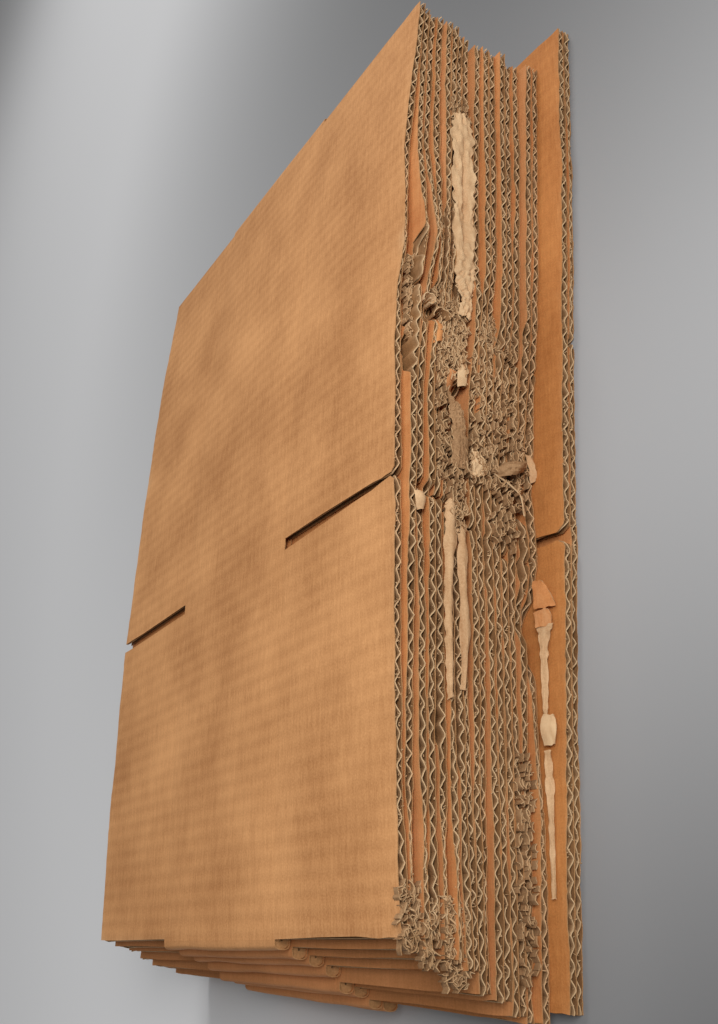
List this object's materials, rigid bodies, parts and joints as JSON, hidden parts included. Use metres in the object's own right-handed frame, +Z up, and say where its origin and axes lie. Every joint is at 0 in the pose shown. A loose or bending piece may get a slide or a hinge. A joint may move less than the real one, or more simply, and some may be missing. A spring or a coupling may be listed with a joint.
{
  "type": "stack of flattened cardboard boxes",
  "caption": "Stack of flattened slotted boxes of corrugated board, lying flat, with fluted cut edges and worn, slightly turned layers.",
  "frame": {"origin": "middle of the underside of the bottom box", "axes": "+X along the flutes towards the flap ends that the picture shows, +Y along the flattened tubes from fold to fold, +Z up through the stack"},
  "size_m": [0.3734, 0.4943, 0.0813],
  "materials": {
    "kraft_board": "matt"
  },
  "bodies": {
    "root": {"top_box": "kraft_board", "second_box": "kraft_board", "third_box": "kraft_board", "fourth_box": "kraft_board", "fifth_box": "kraft_board", "sixth_box": "kraft_board", "seventh_box": "kraft_board", "eighth_box": "kraft_board", "bottom_box": "kraft_board"}
  },
  "joints": []
}
